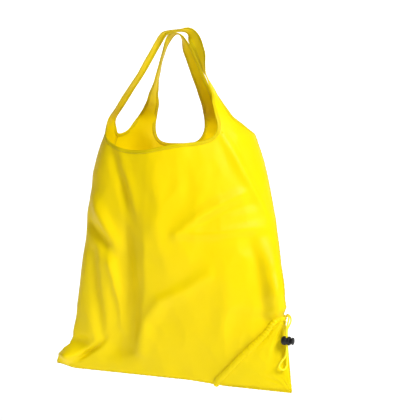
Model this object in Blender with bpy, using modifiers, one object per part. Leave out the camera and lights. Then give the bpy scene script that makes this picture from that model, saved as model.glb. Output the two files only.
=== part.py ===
"""Foldable tote bag, hung by its handle loops, with a corner pouch, a drawcord and a sprung cord lock.

Metres, +Z up. The origin is the point under the handle loops where a hook carries them. The front panel
faces -Y, the pouch is at the +X bottom corner, and the bag's mouth opens upwards.
"""

import math

import bmesh
import bpy
from mathutils import Matrix, Vector

# Bag body
BOTTOM_HALF = 0.1975          # half of the bottom seam's length
MOUTH_NARROWING = 0.0735      # taken off each half width, evenly from the bottom up to the mouth
SHOULDER_NARROWING = 0.009    # and this much more, near the shoulders only
SHOULDER_Z = -0.150           # top of the side seams
BOTTOM_Z = -0.530             # bottom seam
SEAM_HEIGHT = SHOULDER_Z - BOTTOM_Z
FRONT_BULGE = 0.070           # how far the front of the section stands out from its middle line
BACK_BULGE = 0.080
FULL_FROM = 0.8               # the bag stands fully open from this share of its height upwards
ROUNDNESS = 1.1               # power of the sine that shapes a section
END_BOW = 0.02                # keeps the direction off a section clear at its ends
BODY_BACK = 0.018             # the mouth's middle hangs this far behind the hook
MOUTH_TWIST = math.radians(18)  # the mouth has turned this far from the bottom seam's direction
LEFT_SLIP = math.radians(30)  # the left seam has slipped this far round to the back, at the mouth
SLIP_CLEAR = 0.0006           # and stands this much further off the panels there
CLOTH = 0.0010                # modelled thickness of the panels
SPLIT = 0.0009                # each panel's middle surface to the plane of the seams
EDGE = 0.0027                 # cloth edge to the centre line of the seam or hem that binds it

# Handle roots, outer and inner edge, as shares of the way across a panel from its left (-1) or right (1)
# seam. The hook's pull has drawn the back loop (1) together more than the front one (-1).
ROOTS = {
    (-1, -1): (0.055, 0.182),
    (-1, 1): (0.150, 0.245),
    (1, -1): (0.112, 0.232),
    (1, 1): (0.355, 0.473),
}
ROOT_Z = -0.124
RIM_Z = {-1: -0.178, 1: -0.166}  # lowest point of the mouth's edge, at the front and at the back
HINGE_GAP = 0.0012            # cloth left out between panel and handle, for the fold
RIM_SHARES = (0.004, 0.02, 0.08, 0.2, 0.4, 0.7, 1.0)

# Handles
STRAP_ROOT = 0.030
STRAP_TOP = 0.022
STRAP_CLOTH = 0.0014
APEX_Y = 0.0150               # the two loops lie side by side on the hook
ARCH_ROUND = 0.10             # roundness of the loop at the hook, as a share of a half loop
ARCH_BOW = {(-1, -1): 0.004, (-1, 1): 0.014, (1, -1): 0.007, (1, 1): 0.008}  # outward bow of each half loop

# Seams and hems
SEAM_RADIUS = 0.0015
HEM_RADIUS = 0.0012
TOUCH = 0.0003                # gap kept between touching pieces
BARTACK = (0.0014, 0.0030, 0.0090)  # thickness, width and height of the block of stitches
BARTACK_DOWN = 0.012          # its middle below the shoulder

# Corner pouch, drawn to the seams at its sides and standing off the panel at its mouth
POUCH_SIDE = 0.103            # along the side seam
POUCH_BOTTOM = 0.118          # along the bottom seam
POUCH_CLOTH = 0.0010
POUCH_SEAM_LIFT = 0.0016      # off the panel's middle surface, along the seams
POUCH_PUFF = 0.0090           # more than that, in the middle of the mouth
CASING_LIFT = 0.0036
CASING_PUFF = 0.0080
CASING_RADIUS = 0.0020        # middle of the channel's wall
CASING_CLOTH = 0.0007
CASING_BELOW = 0.0052         # the channel turns round the bottom seam at this distance
CASING_STEP = 0.0042

# Drawcord: places that the free loop passes, from the channel's front end, through the lock and back
CORD = 0.0026
CORD_BREAK = 0.0008           # between the cord inside the channel and the free loop, modelled apart
LOOP_PLACES = (
    (0.1790, 0.0177, -0.4252),
    (0.1822, 0.0176, -0.4232),
    (0.1858, 0.0140, -0.4222),
    (0.1884, 0.0084, -0.4238),
    (0.1895, 0.0035, -0.4272),
    (0.1897, -0.0005, -0.4315),
    (0.1895, -0.0030, -0.4356),
    (0.1894, -0.0041, -0.4400),
    (0.1894, -0.0041, -0.4520),
    (0.1894, -0.0041, -0.4640),
    (0.1894, -0.0041, -0.4740),
    (0.1874, -0.0053, -0.4800),
    (0.1829, -0.0067, -0.4865),
    (0.1794, -0.0069, -0.4925),
    (0.1806, -0.0061, -0.4982),
    (0.1852, -0.0043, -0.4992),
    (0.1888, -0.0025, -0.4945),
    (0.1900, -0.0013, -0.4860),
    (0.1894, -0.0009, -0.4740),
    (0.1894, -0.0009, -0.4640),
    (0.1894, -0.0009, -0.4520),
    (0.1894, -0.0009, -0.4400),
    (0.1914, 0.0012, -0.4342),
    (0.1925, 0.0058, -0.4284),
    (0.1904, 0.0112, -0.4240),
    (0.1864, 0.0162, -0.4214),
    (0.1816, 0.0206, -0.4214),
)
CORD_STEP = 0.0055

# Cord lock: the barrel lies along X, the two strands pass down through it along Z
LOCK = Vector((0.1894, -0.0025, -0.4560))
BARREL_RADIUS = 0.0067
BARREL_LEFT = -0.0082
BARREL_RIGHT = 0.0056
BORE_RADIUS = 0.0046
BORE_LEFT = -0.0070
STEM_RADIUS = 0.0043
STEM_LEFT = -0.0028
HEAD_RADIUS = 0.0056
HEAD_LEFT = 0.0084
HEAD_RIGHT = 0.0110
LOCK_ROUND = 0.0012           # rounding of the lock's outer corners
CORD_SLOT_X = 0.0032          # barrel's cord hole, along the barrel
CORD_SLOT_Y = 0.0066          # across it, both strands side by side
STEM_SLOT_LEFT = -0.0016
STEM_SLOT_RIGHT = 0.0041      # longer than the cords, so that the plunger can travel
SPRING_RADIUS = 0.0029
SPRING_WIRE = 0.00035
SPRING_TURNS = 3

YELLOW = (1.0, 0.82, 0.0, 1.0)
DARK_YELLOW = (0.93, 0.74, 0.0, 1.0)
BLACK = (0.012, 0.012, 0.012, 1.0)
STEEL = (0.55, 0.55, 0.56, 1.0)


def clear_scene():
    for obj in list(bpy.data.objects):
        bpy.data.objects.remove(obj, do_unlink=True)


def new_collection(name):
    collection = bpy.data.collections.new(name)
    bpy.context.scene.collection.children.link(collection)
    return collection


def new_material(name, colour, roughness, metallic=0.0):
    material = bpy.data.materials.new(name)
    material.use_nodes = True
    shader = material.node_tree.nodes["Principled BSDF"]
    shader.inputs["Base Color"].default_value = colour
    shader.inputs["Roughness"].default_value = roughness
    shader.inputs["Metallic"].default_value = metallic
    return material


clear_scene()
BAG = new_collection("foldable_tote_bag")
CUTTERS = new_collection("cutters")
POLYESTER = new_material("polyester", YELLOW, 0.45)
HEM_CLOTH = new_material("hem_cloth", DARK_YELLOW, 0.5)
CORD_YARN = new_material("cord_yarn", YELLOW, 0.7)
BLACK_PLASTIC = new_material("black_plastic", BLACK, 0.35)
SPRING_STEEL = new_material("spring_steel", STEEL, 0.3, 1.0)


def add_object(name, data, material, collection=BAG):
    obj = bpy.data.objects.new(name, data)
    collection.objects.link(obj)
    obj.data.materials.append(material)
    return obj


def hang_on(pivot_name, point, pieces):
    """Parents pieces to an empty that stands on their joint's axis, leaving them where they are."""
    pivot = bpy.data.objects.new(pivot_name, None)
    BAG.objects.link(pivot)
    pivot.location = point
    for piece in pieces:
        piece.parent = pivot
        piece.location -= point


# The body's surface

def rise(z):
    return (z - BOTTOM_Z) / SEAM_HEIGHT


def half_width(z):
    h = rise(z)
    return BOTTOM_HALF - MOUTH_NARROWING * h - SHOULDER_NARROWING * h ** 8


def fullness(z):
    """0 at the flat bottom seam, 1 in the upper part of the body."""
    return math.sin(math.pi / 2 * min(1.0, max(0.0, rise(z)) / FULL_FROM))


def section_point(turn, z, face, lift=0.0, inset=EDGE):
    """A point of the level section at z: turn is 0 at the left end, pi at the right, negative at the back."""
    h = max(0.0, rise(z))
    half = half_width(z) - inset
    side = -1.0 if turn >= 0.0 else 1.0
    bulge = (FRONT_BULGE if side < 0 else BACK_BULGE) * fullness(z)
    bow = abs(math.sin(turn))
    along_x = half * max(END_BOW, bow)
    along_y = side * ROUNDNESS * bulge * max(END_BOW, bow) ** (ROUNDNESS - 1.0) * math.cos(turn)
    size = math.hypot(along_x, along_y)
    x = -half * math.cos(turn) - side * along_y / size * lift
    y = side * (bulge * bow ** ROUNDNESS + along_x / size * lift) + face * SPLIT
    twist = MOUTH_TWIST * h
    return Vector((x * math.cos(twist) - y * math.sin(twist),
                   BODY_BACK * h + x * math.sin(twist) + y * math.cos(twist), z))


def seam_point(side, z):
    """Centre line of a side seam: side is -1 at the left and 1 at the right."""
    if side > 0:
        return section_point(math.pi, z, 0, inset=0.0)
    h = max(0.0, rise(z))
    return section_point(-LEFT_SLIP * h, z, 0, inset=-SLIP_CLEAR * h)


def body_point(face, across, z, lift=0.0):
    """A point on a panel, or lifted off it square to its section.

    face is -1 for the front and 1 for the back, and across runs from 0 at the left seam to 1 at the right.
    """
    slip = LEFT_SLIP * max(0.0, rise(z))
    turn = -slip + (math.pi + slip) * across if face < 0 else -slip - (math.pi - slip) * across
    return section_point(turn, z, face, lift)


def edge_place(face, across):
    """Which side of the mouth a place is on, its share from that seam, the root's edges and the mouth's middle."""
    middle = (1.0 + ROOTS[face, -1][1] - ROOTS[face, 1][1]) / 2
    if across <= middle:
        return -1, across, *ROOTS[face, -1], middle
    return 1, 1.0 - across, *ROOTS[face, 1], 1.0 - middle


def top_edge(face, across):
    """Height of a panel's top edge: side cut, handle root, then the U of the mouth."""
    side, t, outer, inner, middle = edge_place(face, across)
    if t < outer:
        return SHOULDER_Z + (ROOT_Z - SHOULDER_Z) * (t / outer) ** 1.5
    if t <= inner:
        return ROOT_Z
    s = (t - inner) / (middle - inner)
    return ROOT_Z - (ROOT_Z - RIM_Z[face]) * math.sqrt(max(0.0, 1.0 - (1.0 - s) ** 4))


def grid_object(name, rows, thickness, material):
    """A sheet through rows of points, thickened to both sides."""
    width = len(rows[0])
    mesh = bpy.data.meshes.new(name)
    points = [point for row in rows for point in row]
    faces = []
    for r in range(len(rows) - 1):
        for c in range(width - 1):
            a = r * width + c
            faces.append((a, a + 1, a + width + 1, a + width))
    mesh.from_pydata(points, [], faces)
    mesh.shade_smooth()
    obj = add_object(name, mesh, material)
    thicken = obj.modifiers.new("thickness", "SOLIDIFY")
    thicken.thickness = thickness
    thicken.offset = 0.0
    return obj


def spread(start, end, steps):
    return [start + (end - start) * k / steps for k in range(steps + 1)]


def rim_places(face, side):
    """Places along the U of the mouth, from a handle's root to the mouth's middle."""
    inner = ROOTS[face, side][1]
    middle = (1.0 + inner - ROOTS[face, -side][1]) / 2
    places = [inner + (middle - inner) * s for s in RIM_SHARES]
    return places if side < 0 else [1.0 - t for t in places]


def panel_columns(face):
    """Column places across a panel, closer together where the top edge turns."""
    columns = set()
    for side in (-1, 1):
        outer, inner = ROOTS[face, side]
        half = spread(0.0, outer, 5) + spread(outer, inner, 3)[1:]
        columns.update(half if side < 0 else [1.0 - t for t in half])
        columns.update(rim_places(face, side)[:-1])
    columns.add(rim_places(face, -1)[-1])
    return sorted(columns)


def cloth_edge(face, across):
    """Place and height of a panel's own top edge, which the hem's roll stands clear of."""
    side, t, outer, inner, middle = edge_place(face, across)
    height = top_edge(face, across)
    if t < 0.001:
        return across, height - EDGE
    step = -0.0005 if t <= outer else 0.0005
    beside = across - side * step
    run = (body_point(face, beside, height) - body_point(face, across, height)).length
    share = EDGE * abs(step) / run
    if outer - 1e-9 <= t <= inner + 1e-9:
        t = max(outer + share, min(inner - share, t))
        height -= HINGE_GAP
    else:
        rising = (top_edge(face, beside) - height) * (1 if step > 0 else -1)
        size = math.hypot(rising, run)
        t += share * rising / size
        height -= EDGE * run / size
    return (t if side < 0 else 1.0 - t), height


def make_panel(name, face):
    rows = []
    low = BOTTOM_Z + EDGE
    for share in spread(0.0, 1.0, 12):
        row = []
        for across in panel_columns(face):
            top_across, top = cloth_edge(face, across)
            place = across + (top_across - across) * share
            row.append(body_point(face, place, low + (top - low) * share))
        rows.append(row if face < 0 else row[::-1])
    return grid_object(name, rows, CLOTH, POLYESTER)


def tube(name, points, radius, material, resolution=2):
    """A round rope of cloth or cord along a line of points, with closed ends."""
    curve = bpy.data.curves.new(name, "CURVE")
    curve.dimensions = "3D"
    curve.bevel_depth = radius
    curve.bevel_resolution = resolution
    curve.use_fill_caps = True
    spline = curve.splines.new("POLY")
    spline.points.add(len(points) - 1)
    for spot, point in zip(spline.points, points):
        spot.co = (*point, 1.0)
    return add_object(name, curve, material)


def smooth_route(points, step):
    """Points every step along a smooth curve through the given points."""
    ends = [points[0] * 2 - points[1], *points, points[-1] * 2 - points[-2]]
    fine = []
    for i in range(1, len(ends) - 2):
        p0, p1, p2, p3 = ends[i - 1:i + 3]
        for k in range(16):
            t = k / 16
            fine.append(0.5 * (2 * p1 + (p2 - p0) * t + (2 * p0 - 5 * p1 + 4 * p2 - p3) * t ** 2
                               + (3 * p1 - p0 - 3 * p2 + p3) * t ** 3))
    fine.append(points[-1])
    lengths = [0.0]
    for a, b in zip(fine, fine[1:]):
        lengths.append(lengths[-1] + (b - a).length)
    count = max(2, round(lengths[-1] / step))
    route = []
    place = 0
    for k in range(count + 1):
        target = lengths[-1] * k / count
        while place < len(fine) - 2 and lengths[place + 1] < target:
            place += 1
        span = lengths[place + 1] - lengths[place]
        route.append(fine[place].lerp(fine[place + 1], (target - lengths[place]) / span))
    return route


# Hems and seams of the body

def make_mouth_hem(name, face):
    line = rim_places(face, -1) + rim_places(face, 1)[-2::-1]
    points = [body_point(face, across, top_edge(face, across)) for across in line]
    for place, across in ((0, ROOTS[face, -1][1]), (len(points), 1.0 - ROOTS[face, 1][1])):
        points.insert(place, body_point(face, across, ROOT_Z - HINGE_GAP))
    return tube(name, points, HEM_RADIUS, HEM_CLOTH)


def side_cut_edge(face, side):
    """Top edge of a panel from near the handle's root to near the side seam."""
    places = [ROOTS[face, side][0] * s for s in (0.95, 0.8, 0.6, 0.4, 0.2, 0.08)]
    if side > 0:
        places = [1.0 - t for t in places]
    return [body_point(face, t, top_edge(face, t)) for t in places]


def make_side_cut_hem(name, side):
    """From the front handle's root, down past the side seam, up to the back handle's root."""
    points = side_cut_edge(-1, side) + [seam_point(side, SHOULDER_Z)] + side_cut_edge(1, side)[::-1]
    return tube(name, points, HEM_RADIUS, HEM_CLOTH)


def make_side_seam(name, side):
    top = SHOULDER_Z - HEM_RADIUS - SEAM_RADIUS - TOUCH
    low = BOTTOM_Z + 2 * SEAM_RADIUS + TOUCH
    points = [seam_point(side, z) for z in spread(low, top, 14)]
    return tube(name, points, SEAM_RADIUS, HEM_CLOTH)


def make_bottom_seam():
    half = BOTTOM_HALF + SEAM_RADIUS
    points = [Vector((x, 0.0, BOTTOM_Z)) for x in spread(-half, half, 8)]
    return tube("bottom_seam", points, SEAM_RADIUS, HEM_CLOTH)


# Handles

def root_frame(face, side):
    """Middle of a handle's root, and the direction across it from outer to inner edge."""
    outer, inner = (body_point(face, t if side < 0 else 1.0 - t, ROOT_Z) for t in ROOTS[face, side])
    return (outer + inner) / 2, (inner - outer).normalized()


def handle_point(face, s):
    """Middle line of a handle: s is -1 at the left root, 0 over the hook, 1 at the right root."""
    side = -1 if s < 0 else 1
    root = root_frame(face, side)[0]
    far = abs(s)
    drop = (math.sqrt(far ** 2 + ARCH_ROUND ** 2) - ARCH_ROUND) / (math.sqrt(1 + ARCH_ROUND ** 2) - ARCH_ROUND)
    x = root.x * far + side * ARCH_BOW[face, side] * math.sin(math.pi * far)
    y = face * APEX_Y + (root.y - face * APEX_Y) * far ** 1.2
    return Vector((x, y, STRAP_CLOTH / 2 + ROOT_Z * drop))


def handle_across(face, s):
    """Direction across a handle, from its outer to its inner edge, square to its run."""
    inward = root_frame(face, -1 if s < 0 else 1)[1]
    over_hook = Vector((0.0, face, 0.0))
    blend = min(1.0, abs(s)) ** 0.8
    direction = over_hook.lerp(inward, blend)
    run = (handle_point(face, s + 0.01) - handle_point(face, s - 0.01)).normalized()
    square = (direction - run * direction.dot(run)).normalized()
    return square.lerp(inward, abs(s) ** 8).normalized()


def handle_places():
    half = [0.0, 0.1, 0.2, 0.32, 0.44, 0.56, 0.68, 0.78, 0.86, 0.92, 0.96]
    return [-1.0 + t for t in half] + [0.0] + [1.0 - t for t in reversed(half)]


def strap_width(s):
    return STRAP_TOP + (STRAP_ROOT - STRAP_TOP) * abs(s) ** 4


def make_handle(name, face):
    rows = []
    for s in handle_places():
        middle = handle_point(face, s)
        half = handle_across(face, s) * (strap_width(s) / 2 - EDGE - TOUCH)
        row = [middle - half, middle, middle + half]
        rows.append(row if face > 0 else row[::-1])
    return grid_object(name, rows, STRAP_CLOTH, POLYESTER)


def hinge_point(face):
    """A place on the fold that a handle swings about: just outside the line between its roots' inner edges."""
    left = body_point(face, ROOTS[face, -1][1], ROOT_Z)
    right = body_point(face, 1.0 - ROOTS[face, 1][1], ROOT_Z)
    run = (right - left).normalized()
    outward = Vector((-face * run.y, face * run.x, 0.0))
    return (left + right) / 2 + outward * (HEM_RADIUS + TOUCH) - Vector((0.0, 0.0, HINGE_GAP / 2))


def make_handle_hem(name, face, edge):
    """edge is -1 for the outer hem and 1 for the inner one."""
    points = []
    for s in handle_places():
        points.append(handle_point(face, s) + edge * handle_across(face, s) * strap_width(s) / 2)
    return tube(name, points, HEM_RADIUS, HEM_CLOTH)


# Corner pouch

def pouch_point(face, along, up, lift):
    """along runs down the pouch's mouth from the side seam to the bottom seam, up from corner to mouth."""
    corner_z = BOTTOM_Z + EDGE + 0.0012
    side_z = corner_z + (BOTTOM_Z + POUCH_SIDE - corner_z) * up
    x_right = half_width(side_z) - EDGE
    x_left = BOTTOM_HALF - EDGE - 0.002 - POUCH_BOTTOM * up
    z = side_z + (corner_z - side_z) * along
    x = x_right + (x_left - x_right) * along
    half = half_width(z) - EDGE
    turn = math.acos(-min(x, half - 0.0008) / half)
    return section_point(turn if face < 0 else -turn, z, face, lift)


def make_pouch(name, face):
    rows = []
    for up in spread(0.06, 0.955, 7):
        row = []
        for along in spread(0.0, 1.0, 10):
            lift = POUCH_SEAM_LIFT + POUCH_PUFF * up * math.sin(math.pi * along)
            row.append(pouch_point(face, along, up, lift))
        rows.append(row if face > 0 else row[::-1])
    return grid_object(name, rows, POUCH_CLOTH, POLYESTER)


def channel_route():
    """The channel's middle line: down the front of the pouch's mouth, under the bottom seam, up the back."""
    half = []
    for along in spread(0.0, 0.97, 9):
        half.append((along, CASING_LIFT + CASING_PUFF * math.sin(math.pi * along)))
    front = [pouch_point(-1, along, 1.0, lift) for along, lift in half]
    back = [pouch_point(1, along, 1.0, lift) for along, lift in reversed(half)]
    turn_x = front[-1].x - 0.003
    under = []
    for angle in (-80, -40, 0, 40, 80):
        lean = math.radians(angle)
        drop = Vector((0.0, math.sin(lean), -math.cos(lean))) * CASING_BELOW
        under.append(Vector((turn_x, 0.0, BOTTOM_Z)) + drop)
    return smooth_route(front + under + back, CASING_STEP)


def make_casing():
    channel = tube("pouch_casing", channel_route(), CASING_RADIUS, HEM_CLOTH)
    channel.data.use_fill_caps = False
    wall = channel.modifiers.new("wall", "SOLIDIFY")
    wall.thickness = CASING_CLOTH
    wall.offset = 0.0
    return channel


# Drawcord and cord lock

def loop_route():
    """The free loop's middle line, which starts and ends in line with the channel's two ends."""
    inside = channel_route()
    start = inside[0] + (inside[0] - inside[1]).normalized() * CORD_BREAK
    end = inside[-1] + (inside[-1] - inside[-2]).normalized() * CORD_BREAK
    return smooth_route([start, *map(Vector, LOOP_PLACES), end], CORD_STEP)


def make_cords():
    tube("drawcord_run", channel_route(), CORD / 2, CORD_YARN)
    tube("drawcord_loop", loop_route(), CORD / 2, CORD_YARN)


def block_mesh(name, size):
    mesh = bpy.data.meshes.new(name)
    shape = bmesh.new()
    bmesh.ops.create_cube(shape, size=1.0)
    for vertex in shape.verts:
        vertex.co = Vector(vertex.co[k] * size[k] for k in range(3))
    shape.to_mesh(mesh)
    shape.free()
    return mesh


def turned(name, profile, material, steps=20):
    """A turned piece of the lock, on the barrel's axis: the profile's points are (radius, place along)."""
    mesh = bpy.data.meshes.new(name)
    points = [(radius, 0.0, along) for radius, along in profile]
    mesh.from_pydata(points, [(k, k + 1) for k in range(len(points) - 1)], [])
    obj = add_object(name, mesh, material)
    screw = obj.modifiers.new("turn", "SCREW")
    screw.steps = steps
    screw.render_steps = steps
    screw.use_merge_vertices = True
    screw.merge_threshold = 0.00001
    screw.use_smooth_shade = False
    obj.location = LOCK
    obj.rotation_euler = (0.0, math.pi / 2, 0.0)
    return obj


def cut_cord_slot(obj, left, right):
    """Cuts the hole that both strands pass through, square to the barrel's axis."""
    mesh = block_mesh(obj.name + "_slot", (right - left, CORD_SLOT_Y, 4 * BARREL_RADIUS))
    cutter = add_object(obj.name + "_slot", mesh, BLACK_PLASTIC, CUTTERS)
    cutter.location = LOCK + Vector(((left + right) / 2, 0.0, 0.0))
    cutter.hide_render = True
    cutter.display_type = "WIRE"
    slot = obj.modifiers.new("cord slot", "BOOLEAN")
    slot.operation = "DIFFERENCE"
    slot.solver = "EXACT"
    slot.object = cutter


def make_lock():
    barrel = turned("lock_barrel", (
        (0.0, BORE_LEFT),
        (BORE_RADIUS, BORE_LEFT),
        (BORE_RADIUS, BARREL_RIGHT),
        (BARREL_RADIUS - LOCK_ROUND, BARREL_RIGHT),
        (BARREL_RADIUS, BARREL_RIGHT - LOCK_ROUND),
        (BARREL_RADIUS, BARREL_LEFT + 2 * LOCK_ROUND),
        (BARREL_RADIUS - 2 * LOCK_ROUND, BARREL_LEFT),
        (0.0, BARREL_LEFT),
    ), BLACK_PLASTIC)
    cut_cord_slot(barrel, -CORD_SLOT_X / 2, CORD_SLOT_X / 2)
    plunger = turned("lock_plunger", (
        (0.0, HEAD_RIGHT),
        (HEAD_RADIUS - LOCK_ROUND, HEAD_RIGHT),
        (HEAD_RADIUS, HEAD_RIGHT - LOCK_ROUND),
        (HEAD_RADIUS, HEAD_LEFT),
        (STEM_RADIUS, HEAD_LEFT),
        (STEM_RADIUS, STEM_LEFT),
        (0.0, STEM_LEFT),
    ), BLACK_PLASTIC)
    cut_cord_slot(plunger, STEM_SLOT_LEFT, STEM_SLOT_RIGHT)
    start = BORE_LEFT + SPRING_WIRE + TOUCH
    end = STEM_LEFT - SPRING_WIRE - TOUCH
    coil = []
    for k in range(SPRING_TURNS * 12 + 1):
        turn = 2 * math.pi * k / 12
        along = start + (end - start) * k / (SPRING_TURNS * 12)
        coil.append(Vector((along, SPRING_RADIUS * math.cos(turn), SPRING_RADIUS * math.sin(turn))))
    spring = tube("lock_spring", coil, SPRING_WIRE, SPRING_STEEL)
    spring.location = LOCK


def make_bartack(name, side):
    """A block of dense stitching on the outside of a side seam, just below the shoulder."""
    obj = add_object(name, block_mesh(name, BARTACK), HEM_CLOTH)
    middle = SHOULDER_Z - BARTACK_DOWN
    half = BARTACK[2] / 2
    run = (seam_point(side, middle + half) - seam_point(side, middle - half)).normalized()
    twist = MOUTH_TWIST * rise(middle)
    outward = Vector((side * math.cos(twist), side * math.sin(twist), 0.0))
    outward = (outward - run * outward.dot(run)).normalized()
    frame = Matrix((outward, run.cross(outward), run)).transposed()
    obj.location = seam_point(side, middle) + outward * (SEAM_RADIUS + TOUCH + BARTACK[0] / 2)
    obj.rotation_euler = frame.to_euler()
    return obj


def main():
    for name, face in (("front_panel", -1), ("back_panel", 1)):
        make_panel(name, face)
    for name, face in (("front_mouth_hem", -1), ("back_mouth_hem", 1)):
        make_mouth_hem(name, face)
    for name, side in (("left_side_cut_hem", -1), ("right_side_cut_hem", 1)):
        make_side_cut_hem(name, side)
    for name, side in (("left_side_seam", -1), ("right_side_seam", 1)):
        make_side_seam(name, side)
    make_bottom_seam()
    for name, face in (("front_handle", -1), ("back_handle", 1)):
        strap = make_handle(name, face)
        outer_hem = make_handle_hem(name + "_outer_hem", face, -1)
        inner_hem = make_handle_hem(name + "_inner_hem", face, 1)
        hang_on(name + "_fold", hinge_point(face), (strap, outer_hem, inner_hem))
    for name, face in (("pouch_front", -1), ("pouch_back", 1)):
        make_pouch(name, face)
    make_casing()
    make_cords()
    make_lock()
    for name, side in (("left_bartack", -1), ("right_bartack", 1)):
        make_bartack(name, side)


main()
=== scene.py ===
"""Looks of the foldable tote bag: thin yellow polyester hung by its two handle loops, with a gathered
corner pouch, a round drawcord and a black sprung cord lock. Metres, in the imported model's frame."""

import math

import bmesh
import bpy
from mathutils import Matrix, Vector, noise


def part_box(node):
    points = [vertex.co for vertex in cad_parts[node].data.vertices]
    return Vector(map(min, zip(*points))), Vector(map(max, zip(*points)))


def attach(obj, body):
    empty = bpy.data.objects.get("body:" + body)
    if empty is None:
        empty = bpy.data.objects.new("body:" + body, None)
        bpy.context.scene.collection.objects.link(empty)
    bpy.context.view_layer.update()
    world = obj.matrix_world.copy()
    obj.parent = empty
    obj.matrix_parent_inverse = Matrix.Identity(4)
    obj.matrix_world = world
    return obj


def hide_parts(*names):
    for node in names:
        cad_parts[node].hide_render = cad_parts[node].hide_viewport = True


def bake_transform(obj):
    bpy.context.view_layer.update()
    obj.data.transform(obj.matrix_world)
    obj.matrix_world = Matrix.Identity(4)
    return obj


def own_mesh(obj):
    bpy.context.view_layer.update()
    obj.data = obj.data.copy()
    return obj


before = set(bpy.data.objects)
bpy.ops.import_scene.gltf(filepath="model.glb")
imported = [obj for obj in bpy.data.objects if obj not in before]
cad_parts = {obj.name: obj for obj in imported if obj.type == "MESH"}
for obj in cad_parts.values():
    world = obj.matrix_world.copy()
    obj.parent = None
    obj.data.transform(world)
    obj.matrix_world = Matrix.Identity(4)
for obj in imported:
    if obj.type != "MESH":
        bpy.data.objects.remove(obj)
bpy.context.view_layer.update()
SCENE = bpy.context.scene

# ---------------------------------------------------------------- camera

IMAGE_WIDTH = 420
FOCAL_PIXELS = 1040
SENSOR = 36.0
AZIMUTH = math.radians(26)
CAMERA_DISTANCE = 1.6
EYE_Z = -0.150                # level with the bag's mouth
AIM_RIGHT = 0.0585
AIM_BELOW_EYE = 0.118

CAMERA_RIGHT = Vector((math.cos(AZIMUTH), math.sin(AZIMUTH), 0.0))
CAMERA_BACK = Vector((-math.sin(AZIMUTH), math.cos(AZIMUTH), 0.0))


def link(obj):
    SCENE.collection.objects.link(obj)
    return obj


def make_camera():
    data = bpy.data.cameras.new("camera")
    data.sensor_width = SENSOR
    data.lens = SENSOR * FOCAL_PIXELS / IMAGE_WIDTH
    camera = link(bpy.data.objects.new("camera", data))
    eye = Vector((0.0, 0.0, EYE_Z)) - CAMERA_BACK * CAMERA_DISTANCE
    aim = CAMERA_RIGHT * AIM_RIGHT + Vector((0.0, 0.0, EYE_Z - AIM_BELOW_EYE))
    camera.location = eye
    camera.rotation_euler = (aim - eye).to_track_quat("-Z", "Y").to_euler()
    SCENE.camera = camera


make_camera()

# ---------------------------------------------------------------- the bag's surface, as the CAD has it

BOTTOM_HALF = 0.1975
MOUTH_NARROWING = 0.0735
SHOULDER_NARROWING = 0.009
SHOULDER_Z = -0.150
BOTTOM_Z = -0.530
SEAM_HEIGHT = SHOULDER_Z - BOTTOM_Z
FRONT_BULGE = 0.070
BACK_BULGE = 0.080
FULL_FROM = 0.8
ROUNDNESS = 1.1
END_BOW = 0.02
BODY_BACK = 0.018
MOUTH_TWIST = math.radians(18)
LEFT_SLIP = math.radians(30)
SPLIT = 0.0006
EDGE = 0.0012
ROOTS = {
    (-1, -1): (0.055, 0.182),
    (-1, 1): (0.150, 0.245),
    (1, -1): (0.112, 0.232),
    (1, 1): (0.355, 0.473),
}
ROOT_Z = -0.124
RIM_Z = {-1: -0.1755, 1: -0.166}
CORNER_SAG = 0.0035
CORNER_ROLL = 0.0055


def rise(z):
    return (z - BOTTOM_Z) / SEAM_HEIGHT


def smooth(t):
    t = max(0.0, min(1.0, t))
    return t * t * (3.0 - 2.0 * t)


def half_width(z):
    h = rise(z)
    return BOTTOM_HALF - MOUTH_NARROWING * h - SHOULDER_NARROWING * h ** 8


def corner_sag(x, z):
    """The lower right corner hangs a little lower, with the lock's weight; the left one has rolled up."""
    low = CORNER_SAG * smooth((x - 0.02) / 0.08) * smooth((-0.44 - z) / 0.09)
    return low - CORNER_ROLL * smooth((-0.160 - x) / 0.036) * smooth((-0.485 - z) / 0.040)


def section_point(turn, z, face, lift=0.0, inset=EDGE):
    """A point of the level section at z: turn is 0 at the left end, pi at the right, negative at the back."""
    h = max(0.0, rise(z))
    half = half_width(z) - inset
    side = -1.0 if turn >= 0.0 else 1.0
    full = math.sin(math.pi / 2 * min(1.0, h / FULL_FROM))
    bulge = (FRONT_BULGE if side < 0 else BACK_BULGE) * full
    bow = abs(math.sin(turn))
    along_x = half * max(END_BOW, bow)
    along_y = side * ROUNDNESS * bulge * max(END_BOW, bow) ** (ROUNDNESS - 1.0) * math.cos(turn)
    size = math.hypot(along_x, along_y)
    x = -half * math.cos(turn) - side * along_y / size * lift
    y = side * (bulge * bow ** ROUNDNESS + along_x / size * lift) + face * SPLIT
    twist = MOUTH_TWIST * h
    return Vector((x * math.cos(twist) - y * math.sin(twist),
                   BODY_BACK * h + x * math.sin(twist) + y * math.cos(twist), z - corner_sag(x, z)))


def panel_turn(face, across, z):
    slip = LEFT_SLIP * max(0.0, rise(z))
    return -slip + (math.pi + slip) * across if face < 0 else -slip - (math.pi - slip) * across


def edge_place(face, across):
    middle = (1.0 + ROOTS[face, -1][1] - ROOTS[face, 1][1]) / 2
    if across <= middle:
        return -1, across, *ROOTS[face, -1], middle
    return 1, 1.0 - across, *ROOTS[face, 1], 1.0 - middle


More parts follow.
